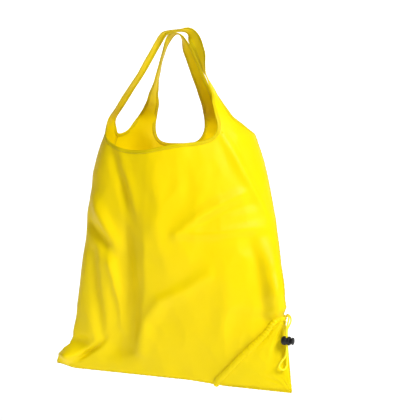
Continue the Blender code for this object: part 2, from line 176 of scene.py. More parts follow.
def top_edge(face, across):
    side, t, outer, inner, middle = edge_place(face, across)
    if t < outer:
        return SHOULDER_Z + (ROOT_Z - SHOULDER_Z) * (t / outer) ** CUT_CURVE[face, side]
    if t <= inner:
        return ROOT_Z
    s = (t - inner) / (middle - inner)
    if face < 0 and side < 0:
        steep = CORNER_DROP * (1.0 - math.exp(-s / 0.05))
        return ROOT_Z - steep - (ROOT_Z - CORNER_DROP - RIM_Z[face]) * smooth(s / 0.9) ** 0.7
    height = ROOT_Z - (ROOT_Z - RIM_Z[face]) * math.sqrt(max(0.0, 1.0 - (1.0 - s) ** 4))
    if face < 0 and side > 0:
        height += RIM_RAISE * math.sin(math.pi * s) ** 1.5
    return height


RIM_RAISE = 0.009             # the front rim climbs to the right
CORNER_DROP = 0.024           # and falls from a sharp corner at the left
CUT_CURVE = {(-1, -1): 2.2, (-1, 1): 1.5, (1, -1): 2.6, (1, 1): 1.8}

# ---------------------------------------------------------------- folds of the hanging cloth
# Each fold is (height, width, line): the line's points are (x across the section, z).

FRONT_FOLDS = (
    (0.0065, 0.0100, ((-0.128, -0.250), (-0.108, -0.284), (-0.086, -0.322))),
    (-0.0070, 0.0095, ((-0.136, -0.290), (-0.116, -0.312), (-0.100, -0.338))),
    (-0.0045, 0.0115, ((-0.066, -0.300), (-0.060, -0.345), (-0.056, -0.390), (-0.060, -0.440), (-0.068, -0.485))),
    (0.0065, 0.0105, ((-0.046, -0.490), (-0.034, -0.440), (-0.006, -0.405), (0.030, -0.388), (0.068, -0.362))),
    (-0.0035, 0.0190, ((-0.012, -0.446), (0.020, -0.428))),
    (0.0070, 0.0085, ((-0.104, -0.330), (-0.092, -0.370), (-0.085, -0.410), (-0.084, -0.455))),
    (-0.0075, 0.0110, ((-0.136, -0.335), (-0.134, -0.385), (-0.131, -0.430), (-0.128, -0.470))),
    (-0.0035, 0.0080, ((-0.098, -0.170), (-0.086, -0.205), (-0.068, -0.250), (-0.056, -0.285))),
    (0.0030, 0.0085, ((-0.082, -0.172), (-0.068, -0.212), (-0.050, -0.262))),
    (0.0050, 0.0060, ((0.064, -0.135), (0.082, -0.168), (0.100, -0.203), (0.120, -0.237), (0.140, -0.275))),
    (0.0050, 0.0085, ((0.018, -0.300), (0.060, -0.266), (0.104, -0.240))),
    (-0.0030, 0.0080, ((0.050, -0.288), (0.090, -0.264), (0.120, -0.254))),
    (0.0034, 0.0075, ((0.022, -0.300), (0.075, -0.298), (0.138, -0.288))),
    (-0.0065, 0.0105, ((0.118, -0.310), (0.127, -0.355), (0.136, -0.395), (0.150, -0.425))),
    (0.0040, 0.0100, ((0.118, -0.335), (0.130, -0.375), (0.138, -0.415))),
    (0.0030, 0.0140, ((0.090, -0.335), (0.095, -0.400), (0.085, -0.450))),
    (-0.0025, 0.0120, ((0.030, -0.200), (0.034, -0.260))),
    (0.0025, 0.0120, ((-0.020, -0.190), (-0.012, -0.260), (-0.008, -0.330))),
)
BACK_FOLDS = (
    (0.0060, 0.0120, ((-0.070, -0.150), (-0.080, -0.230), (-0.100, -0.320))),
    (-0.0060, 0.0110, ((-0.050, -0.160), (-0.052, -0.250), (-0.070, -0.350), (-0.090, -0.430))),
    (0.0050, 0.0140, ((-0.020, -0.190), (-0.020, -0.300), (-0.035, -0.400))),
    (-0.0060, 0.0120, ((0.040, -0.160), (0.060, -0.240), (0.090, -0.330))),
    (0.0055, 0.0110, ((0.062, -0.150), (0.086, -0.230), (0.118, -0.300))),
    (0.0045, 0.0120, ((0.020, -0.260), (0.030, -0.350), (0.020, -0.440))),
    (-0.0050, 0.0130, ((0.000, -0.300), (-0.005, -0.390), (0.000, -0.470))),
    (-0.0060, 0.0110, ((0.140, -0.320), (0.150, -0.380), (0.150, -0.430))),
    (0.0040, 0.0110, ((-0.120, -0.350), (-0.110, -0.420), (-0.120, -0.480))),
    (-0.0045, 0.0100, ((-0.140, -0.330), (-0.140, -0.400), (-0.135, -0.460))),
)
# A pressed crease runs down the front; left of it the cloth falls back before it comes forward again.
PRESSED = ((-0.520, -0.056), (-0.490, -0.052), (-0.430, -0.039), (-0.380, -0.031), (-0.170, -0.034))
PRESSED_DEPTH = ((-0.520, 0.0), (-0.480, 0.0120), (-0.420, 0.0185), (-0.340, 0.0155), (-0.260, 0.0085), (-0.180, 0.0045))
PRESSED_WIDTH = 0.037
# The right seam turns forward over this stretch: (z, move to the front).
RIGHT_FORWARD = ((-0.432, 0.0), (-0.412, 0.0140), (-0.385, 0.0225), (-0.350, 0.0170), (-0.300, 0.0040), (-0.270, 0.0))
CRUMPLE = 0.0008              # soft ridges where the thin cloth has been folded small
CREASE_NOISE = 0.0011         # small unevenness all over
EDGE_CALM = 0.012             # folds die out this close to the bottom seam
# How far each side edge is drawn in (left) or stands out (right) of the plain outline: (z, move in x).
LEFT_EDGE = ((-0.530, -0.0135), (-0.514, -0.0105), (-0.502, -0.0040), (-0.490, 0.0055), (-0.474, 0.0098),
             (-0.440, 0.0122), (-0.380, 0.0108), (-0.320, 0.0100), (-0.260, 0.0046), (-0.180, 0.0),
             (-0.145, 0.0), (-0.128, -0.0055), (-0.110, -0.0030))
RIGHT_EDGE = ((-0.440, 0.0), (-0.425, 0.0025), (-0.405, 0.0120), (-0.380, 0.0158), (-0.345, 0.0135), (-0.300, 0.0100),
              (-0.260, 0.0088),
              (-0.200, 0.0085), (-0.155, 0.0065), (-0.140, 0.0030), (-0.124, 0.0))


def fold_height(folds, x, z):
    total = 0.0
    spot = Vector((x, z))
    for height, width, line in folds:
        best = None
        run = 0.0
        length = sum((Vector(b) - Vector(a)).length for a, b in zip(line, line[1:]))
        for a, b in zip(line, line[1:]):
            a, b = Vector(a), Vector(b)
            step = b - a
            t = max(0.0, min(1.0, (spot - a).dot(step) / step.length_squared))
            gap = (spot - (a + step * t)).length
            if best is None or gap < best[0]:
                best = (gap, (run + t * step.length) / length)
            run += step.length
        gap, share = best
        if gap < 3.2 * width:
            taper = 0.25 + 0.75 * math.sin(math.pi * min(1.0, max(0.0, 0.12 + 0.76 * share)))
            total += height * taper * math.exp(-(gap / width) ** 2)
    return total


def read_along(table, z):
    """The value of a (place, value) table at z, eased between its entries."""
    if z <= table[0][0]:
        return table[0][1]
    for (low, first), (high, second) in zip(table, table[1:]):
        if z <= high:
            return first + (second - first) * smooth((z - low) / (high - low))
    return table[-1][1]


def pressed_fall(x, z):
    gone = (read_along(PRESSED, z) - x) / PRESSED_WIDTH
    if gone <= 0.0:
        return 0.0
    shape = gone if gone < 1.0 else math.exp(-((gone - 1.0) / 0.9) ** 2)
    return read_along(PRESSED_DEPTH, z) * shape


def cloth_point(face, across, z, lift=0.0):
    """A point of the hanging cloth, or lifted off it."""
    turn = panel_turn(face, across, z)
    x = -half_width(z) * math.cos(turn)
    folds = FRONT_FOLDS if face < 0 else BACK_FOLDS
    calm = smooth((z - BOTTOM_Z) / EDGE_CALM) * smooth(min(across, 1.0 - across) / 0.02)
    top = smooth((SHOULDER_Z + 0.02 - z) / 0.05)
    height = fold_height(folds, x, z) * (0.35 + 0.65 * top)
    place = Vector((x * 30.0, z * 17.0, face * 7.0))
    if face < 0:
        height -= pressed_fall(x, z)
    height += CRUMPLE * (1.0 - 2.6 * abs(noise.noise(place * 0.9 + Vector((5.0, 2.0, 0.0)))))
    height += CREASE_NOISE * noise.noise(place) + 0.5 * CREASE_NOISE * noise.noise(place * 2.3)
    point = section_point(turn, z, face, height * calm + lift)
    share = x / half_width(z)
    point.x += read_along(LEFT_EDGE, z) * smooth((-share - 0.3) / 0.6)
    point.x += read_along(RIGHT_EDGE, z) * smooth((share - 0.3) / 0.6)
    point.y -= read_along(RIGHT_FORWARD, z) * smooth((share - 0.76) / 0.22)
    if face < 0:
        ear = math.exp(-((x + 0.176) / 0.017) ** 2 - ((z + 0.510) / 0.012) ** 2)
        fold = math.exp(-((x + 0.150 - 0.9 * (z + 0.505)) / 0.007) ** 2 - ((z + 0.500) / 0.022) ** 2)
        above = math.exp(-((x + 0.172) / 0.022) ** 2 - ((z + 0.484) / 0.010) ** 2)
        point.y -= (0.0170 * ear - 0.0080 * fold - 0.0060 * above) * smooth((z - BOTTOM_Z) / 0.005)
    return point


def spread(start, end, steps):
    return [start + (end - start) * k / steps for k in range(steps + 1)]


# ---------------------------------------------------------------- handles

APEX_Y = 0.0150
APEX_Z = 0.0030
STRAP_ROOT = 0.030
STRAP_TOP = 0.023
LEG_STEPS = 44
STRAP_COLUMNS = 10
# Middle line of each leg, from the root up: (x, y, z); and the angle of its width in plan, in degrees.
LEGS = {
    (-1, -1): (((-0.0850, -0.0080, -0.1060), (-0.0735, -0.0085, -0.0900), (-0.0495, -0.0110, -0.0600),
                (-0.0290, -0.0130, -0.0310), (-0.0110, -0.0145, -0.0050)), (-86, -88, -88, -90, -90)),
    (-1, 1): (((0.0774, -0.0010, -0.1050), (0.0732, -0.0030, -0.0900), (0.0611, -0.0065, -0.0640),
               (0.0568, -0.0085, -0.0500), (0.0530, -0.0110, -0.0290), (0.0455, -0.0130, -0.0110),
               (0.0330, -0.0145, 0.0030)),
              (-102, -84, -68, -48, -24, -12, -30)),
    (1, -1): (((-0.0635, 0.0560, -0.1080), (-0.0545, 0.0450, -0.0900), (-0.0400, 0.0320, -0.0610),
               (-0.0250, 0.0215, -0.0285), (-0.0110, 0.0165, -0.0035)), (58, 82, 105, 108, 96)),
    (1, 1): (((0.0250, 0.0860, -0.1080), (0.0240, 0.0700, -0.0880), (0.0215, 0.0520, -0.0640),
              (0.0150, 0.0300, -0.0280), (0.0095, 0.0180, -0.0035)), (178, 178, 174, 160, 124)),
}


def catmull(points, count):
    """Count + 1 points, evenly spaced by length, along a smooth curve through the given ones."""
    ends = [points[0] * 2 - points[1], *points, points[-1] * 2 - points[-2]]
    fine = []
    for i in range(1, len(ends) - 2):
        p0, p1, p2, p3 = ends[i - 1:i + 3]
        for k in range(24):
            t = k / 24
            fine.append(0.5 * (2 * p1 + (p2 - p0) * t + (2 * p0 - 5 * p1 + 4 * p2 - p3) * t ** 2
                               + (3 * p1 - p0 - 3 * p2 + p3) * t ** 3))
    fine.append(points[-1])
    lengths = [0.0]
    for a, b in zip(fine, fine[1:]):
        lengths.append(lengths[-1] + (b - a).length)
    result = []
    place = 0
    for k in range(count + 1):
        target = lengths[-1] * k / count
        while place < len(fine) - 2 and lengths[place + 1] < target:
            place += 1
        span = max(1e-9, lengths[place + 1] - lengths[place])
        result.append(fine[place].lerp(fine[place + 1], (target - lengths[place]) / span))
    return result


def root_edge(face, side):
    outer, inner = ROOTS[face, side]
    places = (outer, inner) if side < 0 else (1.0 - outer, 1.0 - inner)
    return [cloth_point(face, t, ROOT_Z) for t in places]


def handle_rows(face):
    """Rows of points across the handle, outer edge first, from the left root over the hook to the right."""
    middles, widths, angles = [], [], []
    apex = Vector((0.0, face * APEX_Y, APEX_Z))
    keys, turns = [], []
    for side in (-1, 1):
        outer, inner = root_edge(face, side)
        root = (outer + inner) / 2
        direction = inner - outer
        leg, degrees = LEGS[face, side]
        line = [root, *map(Vector, leg)]
        start = math.degrees(math.atan2(direction.y, direction.x))
        while start - degrees[0] > 180:
            start -= 360
        while start - degrees[0] < -180:
            start += 360
        angle = [start, *degrees]
        if side < 0:
            keys, turns = line + [apex], angle + [90.0 * face]
        else:
            keys += line[::-1]
            turns += angle[::-1]

    # angles are carried along with the middle line as a second curve
    both = catmull([Vector((k.x, k.y, k.z)) for k in keys], 2 * LEG_STEPS)
    spots = catmull_parameter(keys, 2 * LEG_STEPS)
    rows = []
    total = 2 * LEG_STEPS
    for k in range(total + 1):
        spot = spots[k]
        low = min(int(spot), len(turns) - 2)
        side = -1 if spot < len(LEGS[face, -1][0]) + 1 else 1
        mix = smooth(spot - low)
        turn = math.radians(turns[low] + (turns[low + 1] - turns[low]) * mix)
        before, after = both[max(0, k - 1)], both[min(total, k + 1)]
        run = (after - before).normalized()
        direction = Vector((math.cos(turn), math.sin(turn), 0.0))
        square = (direction - run * direction.dot(run)).normalized()
        near_root = min(k, total - k) / LEG_STEPS
        width = STRAP_TOP + (STRAP_ROOT - STRAP_TOP) * (1.0 - near_root) ** 4
        normal = run.cross(square)
        row = []
        for c in range(STRAP_COLUMNS + 1):
            t = 2.0 * c / STRAP_COLUMNS - 1.0
            curl = STRAP_CURL * (t * t - 0.4) * smooth(near_root / 0.2)
            curl += 0.0008 * noise.noise(Vector((k * 0.16, t * 1.2, face * 3.0))) * smooth(near_root / 0.1)
            row.append(both[k] + square * (t * width / 2) + normal * curl)
        rows.append(row)
    for side, place in ((-1, 0), (1, total)):
        outer, inner = ROOTS[face, side]
        for c in range(STRAP_COLUMNS + 1):
            t = outer + (inner - outer) * c / STRAP_COLUMNS
            rows[place][c] = cloth_point(face, t if side < 0 else 1.0 - t, ROOT_Z)
    # the first rows above a root turn smoothly out of the panel's curve
    for side in (-1, 1):
        for k in range(1, 6):
            place = k if side < 0 else total - k
            base = 0 if side < 0 else total
            far = 6 if side < 0 else total - 6
            share = smooth(k / 6)
            for c in range(STRAP_COLUMNS + 1):
                straight = rows[base][c].lerp(rows[far][c], k / 6)
                rows[place][c] = straight.lerp(rows[place][c], share)
    return rows


STRAP_CURL = 0.0016


def catmull_parameter(points, count):
    """Where along the given points each evenly spaced place lies, as a fractional index."""
    ends = [points[0] * 2 - points[1], *points, points[-1] * 2 - points[-2]]
    fine, marks = [], []
    for i in range(1, len(ends) - 2):
        p0, p1, p2, p3 = ends[i - 1:i + 3]
        for k in range(24):
            t = k / 24
            fine.append(0.5 * (2 * p1 + (p2 - p0) * t + (2 * p0 - 5 * p1 + 4 * p2 - p3) * t ** 2
                               + (3 * p1 - p0 - 3 * p2 + p3) * t ** 3))
            marks.append(i - 1 + t)
    fine.append(points[-1])
    marks.append(len(points) - 1.0)
    lengths = [0.0]
    for a, b in zip(fine, fine[1:]):
        lengths.append(lengths[-1] + (b - a).length)
    result = []
    place = 0
    for k in range(count + 1):
        target = lengths[-1] * k / count
        while place < len(fine) - 2 and lengths[place + 1] < target:
            place += 1
        span = max(1e-9, lengths[place + 1] - lengths[place])
        result.append(marks[place] + (marks[place + 1] - marks[place]) * (target - lengths[place]) / span)
    return result


# ---------------------------------------------------------------- meshes

PANEL_ROWS = 130
MOUTH_STEPS = 62
ROOT_REACH = 0.022
ROOT_PASSES = 30
CLOTH = 0.0004                # drawn thickness of the polyester


def columns(face):
    """Places across a panel: edge, side cut, root, U of the mouth, root, side cut, edge."""
    found = []
    for side in (-1, 1):
        outer, inner = ROOTS[face, side]
        middle = (1.0 + inner - ROOTS[face, -side][1]) / 2
        steps = [outer * (k / 12) for k in range(12)]
        steps += [outer + (inner - outer) * c / STRAP_COLUMNS for c in range(STRAP_COLUMNS + 1)]
        steps += [inner + (middle - inner) * (k / MOUTH_STEPS) ** 1.5 for k in range(1, MOUTH_STEPS + 1)]
        found += steps if side < 0 else [1.0 - t for t in reversed(steps[:-1])]
    return found


def new_object(name, mesh, material):
    mesh.materials.append(material)
    return link(bpy.data.objects.new(name, mesh))


def mesh_from(name, points, faces, material, shade=True):
    mesh = bpy.data.meshes.new(name)
    mesh.from_pydata([tuple(p) for p in points], [], faces)
    mesh.validate()
    if shade:
        mesh.shade_smooth()
    return new_object(name, mesh, material)


def apply_modifiers(obj):
    """Makes what the modifiers do part of the mesh."""
    bpy.context.view_layer.update()
    graph = bpy.context.evaluated_depsgraph_get()
    mesh = bpy.data.meshes.new_from_object(obj.evaluated_get(graph))
    obj.modifiers.clear()
    obj.data = mesh
    return obj


def thicken(obj, thickness):
    modifier = obj.modifiers.new("thickness", "SOLIDIFY")
    modifier.thickness = thickness
    modifier.offset = 0.0
    return apply_modifiers(obj)


def fabric(name, face, material):
    """One panel and its handle, as the one piece of cloth they are."""
    places = columns(face)
    width = len(places)
    points, faces = [], []
    for row in range(PANEL_ROWS + 1):
        share = row / PANEL_ROWS
        for across in places:
            top = top_edge(face, across)
            points.append(cloth_point(face, across, BOTTOM_Z + (top - BOTTOM_Z) * share))
    for r in range(PANEL_ROWS):
        for c in range(width - 1):
            a = r * width + c
            faces.append((a, a + 1, a + width + 1, a + width))
    top_row = PANEL_ROWS * width
    left = [top_row + 12 + c for c in range(STRAP_COLUMNS + 1)]
    right = [top_row + width - 1 - 12 - c for c in range(STRAP_COLUMNS + 1)]
    rows = handle_rows(face)
    last = left
    for k in range(1, len(rows)):
        if k == len(rows) - 1:
            now = right
        else:
            now = list(range(len(points), len(points) + STRAP_COLUMNS + 1))
            points += rows[k]
        for c in range(STRAP_COLUMNS):
            faces.append((last[c], last[c + 1], now[c + 1], now[c]))
        last = now
    if face > 0:
        faces = [f[::-1] for f in faces]
    obj = mesh_from(name, points, faces, material)
    ease_roots(obj)
    return thicken(obj, CLOTH)


def ease_roots(obj):
    """Lets the cloth run smoothly from the panel into the handle; its edges stay where the hems are."""
    shape = bmesh.new()
    shape.from_mesh(obj.data)
    near = [v for v in shape.verts if abs(v.co.z - ROOT_Z) < ROOT_REACH and not v.is_boundary]
    for _ in range(ROOT_PASSES):
        bmesh.ops.smooth_vert(shape, verts=near, factor=0.5, use_axis_x=True, use_axis_y=True, use_axis_z=True)
    shape.to_mesh(obj.data)
    shape.free()


def edge_line(face, kind):
    """Outer and inward points of a panel's edge: kind is mouth or side. Pairs of (edge, a little inside)."""
    rows = handle_rows(face)
    pairs = []
    if kind == "mouth":
        inner_left, inner_right = ROOTS[face, -1][1], 1.0 - ROOTS[face, 1][1]
        middle = (inner_left + inner_right) / 2
        places = [inner_left + (middle - inner_left) * (k / MOUTH_STEPS) ** 1.5 for k in range(1, MOUTH_STEPS + 1)]
        places += [inner_right + (middle - inner_right) * (k / MOUTH_STEPS) ** 1.5
                   for k in range(MOUTH_STEPS - 1, 0, -1)]
        for across in places:
            pairs.append(edge_pair(face, across))
        for row in rows[::-1]:
            pairs.append((row[-1], row[-1] + (row[-2] - row[-1]).normalized() * HEM_WIDTH))
    else:
        left_outer, right_outer = ROOTS[face, -1][0], ROOTS[face, 1][0]
        for k in range(0, 14):
            pairs.append(edge_pair(face, left_outer * k / 14))
        for row in rows:
            pairs.append((row[0], row[0] + (row[1] - row[0]).normalized() * HEM_WIDTH))
        for k in range(13, -1, -1):
            pairs.append(edge_pair(face, 1.0 - right_outer * k / 14))
    return pairs


HEM_WIDTH = 0.0055
HEM_THICKNESS = 0.0013


def edge_pair(face, across):
    """A point on a panel's top edge and one a hem's width inside it, square to the edge."""
    height = top_edge(face, across)
    here = cloth_point(face, across, height)
    step = 0.002 if across < 0.5 else -0.002
    ahead = min(0.999, max(0.001, across + step))
    along = cloth_point(face, ahead, top_edge(face, ahead)) - here
    down = cloth_point(face, across, height - 0.004) - here
    inward = (down - along * (down.dot(along) / max(1e-12, along.length_squared))).normalized()
    return here, here + inward * HEM_WIDTH


def ease(points, rounds, closed=False):
    """Evens a line of points out a little."""
    points = list(points)
    for _ in range(rounds):
        fresh = list(points)
        for k in range(len(points)):
            if closed or 0 < k < len(points) - 1:
                fresh[k] = (points[k - 1] + points[k] * 2 + points[(k + 1) % len(points)]) / 4
        points = fresh
    return points


def resample(points, step):
    lengths = [0.0]
    for a, b in zip(points, points[1:]):
        lengths.append(lengths[-1] + (b - a).length)
    count = max(2, round(lengths[-1] / step))
    result = []
    place = 0
    for k in range(count + 1):
        target = lengths[-1] * k / count
        while place < len(points) - 2 and lengths[place + 1] < target:
            place += 1
        span = max(1e-9, lengths[place + 1] - lengths[place])
        result.append((place, (target - lengths[place]) / span))
    return result


def band(name, pairs, closed, material, thickness=HEM_THICKNESS):
    """A folded hem: a flat strip that wraps the cloth's edge, with slightly puckered faces."""
    edge = ease([p[0] for p in pairs], 1, closed)
    inside = ease([p[1] for p in pairs], 1, closed)
    if closed:
        edge, inside = edge + edge[:1], inside + inside[:1]
    marks = resample(edge, 0.0018)
    points, faces = [], []
    count = len(marks) - (1 if closed else 0)
    profile = ((0.0, 0.0), (0.10, 0.62), (0.35, 1.0), (0.70, 0.95), (0.96, 0.80), (1.0, 0.35),
               (1.0, -0.35), (0.96, -0.80), (0.70, -0.95), (0.35, -1.0), (0.10, -0.62))
    for k in range(count):
        i, f = marks[k]
        a = edge[i].lerp(edge[i + 1], f)
        b = inside[i].lerp(inside[i + 1], f)
        i2, f2 = marks[min(len(marks) - 1, k + 1)]
        i0, f0 = marks[max(0, k - 1)]
        run = edge[i2].lerp(edge[i2 + 1], f2) - edge[i0].lerp(edge[i0 + 1], f0)
        across = b - a
        normal = run.cross(across).normalized()
        outward = a - across.normalized() * 0.0004
        pucker = 1.0 + 0.16 * math.sin(k * 1.9) + 0.22 * noise.noise(Vector((k * 0.33, 0.0, thickness)))
        for s, t in profile:
            points.append(outward.lerp(b, s) + normal * (t * thickness / 2 * pucker))
    sides = len(profile)
    for k in range(count if closed else count - 1):
        for j in range(sides):
            a = k * sides + j
            b = k * sides + (j + 1) % sides
            c = ((k + 1) % count) * sides + (j + 1) % sides
            d = ((k + 1) % count) * sides + j
            faces.append((a, b, c, d))
    if not closed:
        faces.append(tuple(reversed(range(sides))))
        faces.append(tuple(range((count - 1) * sides, count * sides)))
    obj = mesh_from(name, points, faces, material)
    fix_normals(obj)
    return obj


def fix_normals(obj):
    shape = bmesh.new()
    shape.from_mesh(obj.data)
    bmesh.ops.recalc_face_normals(shape, faces=shape.faces)
    shape.to_mesh(obj.data)
    shape.free()


STITCH_PITCH = 0.0026
STITCH_LENGTH = 0.0019
STITCH_RADIUS = 0.00022


def stitches(name, lines, material):
    """Rows of lock stitches: a short bead of thread for each, on the lines of (point, run, normal)."""
    points, faces = [], []
    for place, run, normal in lines:
        side = run.cross(normal).normalized()
        base = len(points)
        rings = ((-0.5, 0.25, -0.6), (-0.36, 0.9, 0.35), (0.0, 1.0, 0.9), (0.36, 0.9, 0.35), (0.5, 0.25, -0.6))
        for along, size, up in rings:
            centre = place + run * (along * STITCH_LENGTH) + normal * (up * STITCH_RADIUS)
            for j in range(5):
                turn = 2 * math.pi * j / 5
                points.append(centre + (side * math.cos(turn) + normal * math.sin(turn)) * STITCH_RADIUS * size)
        for r in range(4):
            for j in range(5):
                a = base + r * 5 + j
                b = base + r * 5 + (j + 1) % 5
                faces.append((a, b, b + 5, a + 5))
        faces.append(tuple(base + j for j in reversed(range(5))))
        faces.append(tuple(base + 20 + j for j in range(5)))
    return mesh_from(name, points, faces, material)


def stitch_line(first, second, share, lift, both=True):
    """Places for stitches along a strip between two lines of points, on one or both of its faces."""
    middle = [a.lerp(b, share) for a, b in zip(first, second)]
    marks = resample(middle, STITCH_PITCH)
    found = []
    for k in range(len(marks) - 1):
        i, f = marks[k]
        here = middle[i].lerp(middle[i + 1], f)
        run = (middle[i + 1] - middle[i]).normalized()
        across = second[i] - first[i]
        normal = run.cross(across).normalized()
        for side in ((1, -1) if both else (1,)):
            found.append((here + normal * (side * lift), run, normal * side))
    return found


def hem_with_stitches(name, face, kind, cloth, thread):
    pairs = edge_line(face, kind)
    closed = kind == "mouth"
    hem = band(name, pairs, closed, cloth)
    edge = ease([p[0] for p in pairs], 1, closed)
    inside = ease([p[1] for p in pairs], 1, closed)
    if closed:
        edge, inside = edge + edge[:1], inside + inside[:1]
    thread_row = stitches(name + "_stitches", stitch_line(edge, inside, 0.78, HEM_THICKNESS * 0.48), thread)
    return hem, thread_row


def tube_mesh(name, line, radii, material, sides=10, closed_ends=True):
    """A round tube along a line of points, with a radius, or two half widths, at each."""
    points, faces = [], []
    last_up = None
    for k, place in enumerate(line):
        run = (line[min(len(line) - 1, k + 1)] - line[max(0, k - 1)]).normalized()
        if last_up is None:
            last_up = Vector((0.0, -1.0, 0.0)) if abs(run.y) < 0.9 else Vector((1.0, 0.0, 0.0))
        up = (last_up - run * last_up.dot(run)).normalized()
        last_up = up
        side = run.cross(up)
        radius = radii[k] if isinstance(radii[k], tuple) else (radii[k], radii[k])
        for j in range(sides):
            turn = 2 * math.pi * j / sides
            points.append(place + side * (math.cos(turn) * radius[0]) + up * (math.sin(turn) * radius[1]))
    for k in range(len(line) - 1):
        for j in range(sides):
            a = k * sides + j
            b = k * sides + (j + 1) % sides
            faces.append((a, b, b + sides, a + sides))
    if closed_ends:
        faces.append(tuple(reversed(range(sides))))
        faces.append(tuple(range((len(line) - 1) * sides, len(line) * sides)))
    obj = mesh_from(name, points, faces, material)
    fix_normals(obj)
    return obj


# ---------------------------------------------------------------- materials

LIGHT_THROUGH = 0.30


def node(tree, kind, **values):
    made = tree.nodes.new(kind)
    for key, value in values.items():
        if key.startswith("_"):
            setattr(made, key[1:], value)
        else:
            made.inputs[key].default_value = value
    return made


def material(name, colour, roughness, specular=0.35, sheen=0.0):
    made = bpy.data.materials.new(name)
    made.use_nodes = True
    shader = made.node_tree.nodes["Principled BSDF"]
    shader.inputs["Base Color"].default_value = (*colour, 1.0)
    shader.inputs["Roughness"].default_value = roughness
    shader.inputs["Specular IOR Level"].default_value = specular
    shader.inputs["Sheen Weight"].default_value = sheen
    shader.inputs["Sheen Roughness"].default_value = 0.4
    return made, made.node_tree, shader


def vary_colour(tree, shader, position, colour, scale, amount):
    """Clouds the colour a little, as dye and light do on thin cloth."""
    clouds = node(tree, "ShaderNodeTexNoise", Scale=scale, Detail=4.0, Roughness=0.55)
    tree.links.new(position, clouds.inputs["Vector"])
    ramp = tree.nodes.new("ShaderNodeValToRGB")
    ramp.color_ramp.elements[0].position = 0.30
    ramp.color_ramp.elements[1].position = 0.72
    ramp.color_ramp.elements[0].color = (*(c * (1.0 - amount) for c in colour), 1.0)
    ramp.color_ramp.elements[1].color = (*(min(1.0, c * (1.0 + amount * 0.5)) for c in colour), 1.0)
    tree.links.new(clouds.outputs["Fac"], ramp.inputs["Fac"])
    tree.links.new(ramp.outputs["Color"], shader.inputs["Base Color"])
    return clouds


def vary_roughness(tree, shader, position, low, high, scale):
    patches = node(tree, "ShaderNodeTexNoise", Scale=scale, Detail=3.0)
    tree.links.new(position, patches.inputs["Vector"])
    spread_out = tree.nodes.new("ShaderNodeMapRange")
    spread_out.inputs["From Min"].default_value = 0.3
    spread_out.inputs["From Max"].default_value = 0.7
    spread_out.inputs["To Min"].default_value = low
    spread_out.inputs["To Max"].default_value = high
    tree.links.new(patches.outputs["Fac"], spread_out.inputs["Value"])
    tree.links.new(spread_out.outputs["Result"], shader.inputs["Roughness"])


def bump(tree, height, strength, distance, below=None):
    made = node(tree, "ShaderNodeBump", Strength=strength, Distance=distance)
    tree.links.new(height, made.inputs["Height"])
    if below is not None:
        tree.links.new(below.outputs["Normal"], made.inputs["Normal"])
    return made


def cloth_material(name, colour, weave, crinkle, roughness):
    """Thin plain-weave polyester: warp and weft ribs and soft crinkles."""
    made, tree, shader = material(name, colour, roughness, 0.14, 0.0)
    position = tree.nodes.new("ShaderNodeTexCoord").outputs["Object"]
    vary_colour(tree, shader, position, colour, 14.0, 0.035)
    vary_roughness(tree, shader, position, roughness - 0.05, roughness + 0.07, 35.0)
    warp = node(tree, "ShaderNodeTexWave", _wave_type="BANDS", _bands_direction="X", Scale=weave, Distortion=0.4)
    weft = node(tree, "ShaderNodeTexWave", _wave_type="BANDS", _bands_direction="Z", Scale=weave, Distortion=0.4)
    ribs = tree.nodes.new("ShaderNodeMath")
    ribs.operation = "MULTIPLY"
    for wave, socket in ((warp, 0), (weft, 1)):
        tree.links.new(position, wave.inputs["Vector"])
        tree.links.new(wave.outputs["Fac"], ribs.inputs[socket])
    stretch = node(tree, "ShaderNodeMapping", Scale=(1.0, 1.0, 0.45))
    tree.links.new(position, stretch.inputs["Vector"])
    soft = node(tree, "ShaderNodeTexNoise", Scale=crinkle, Detail=5.0, Roughness=0.5, Distortion=0.6)
    tree.links.new(stretch.outputs["Vector"], soft.inputs["Vector"])
    below = bump(tree, soft.outputs["Fac"], 0.35, 0.0022)
    top = bump(tree, ribs.outputs["Value"], 0.22, 0.00008, below)
    tree.links.new(top.outputs["Normal"], shader.inputs["Normal"])
    let_light_through(tree, shader, colour, top)
    return made


def let_light_through(tree, shader, colour, normals):
    """Thin cloth glows a little with the light that falls on its other side."""
    through = node(tree, "ShaderNodeBsdfTranslucent", Color=(*colour, 1.0))
    tree.links.new(normals.outputs["Normal"], through.inputs["Normal"])
    both = tree.nodes.new("ShaderNodeMixShader")
    both.inputs["Fac"].default_value = LIGHT_THROUGH
    tree.links.new(shader.outputs["BSDF"], both.inputs[1])
    tree.links.new(through.outputs["BSDF"], both.inputs[2])
    tree.links.new(both.outputs["Shader"], tree.nodes["Material Output"].inputs["Surface"])


def yarn_material(name, colour, scale, roughness):
    made, tree, shader = material(name, colour, roughness, 0.25, 0.15)
    position = tree.nodes.new("ShaderNodeTexCoord").outputs["Object"]
    vary_colour(tree, shader, position, colour, 300.0, 0.10)
    fibres = node(tree, "ShaderNodeTexNoise", Scale=scale, Detail=4.0, Roughness=0.6)
    tree.links.new(position, fibres.inputs["Vector"])
    top = bump(tree, fibres.outputs["Fac"], 0.5, 0.00015)
    tree.links.new(top.outputs["Normal"], shader.inputs["Normal"])
    return made


def plastic_material(name, colour):
    made, tree, shader = material(name, colour, 0.44, 0.25)
    position = tree.nodes.new("ShaderNodeTexCoord").outputs["Object"]
    vary_colour(tree, shader, position, colour, 260.0, 0.25)
    vary_roughness(tree, shader, position, 0.38, 0.52, 420.0)
    grain = node(tree, "ShaderNodeTexNoise", Scale=2600.0, Detail=3.0)
    tree.links.new(position, grain.inputs["Vector"])
    top = bump(tree, grain.outputs["Fac"], 0.25, 0.00006)
    tree.links.new(top.outputs["Normal"], shader.inputs["Normal"])
    return made


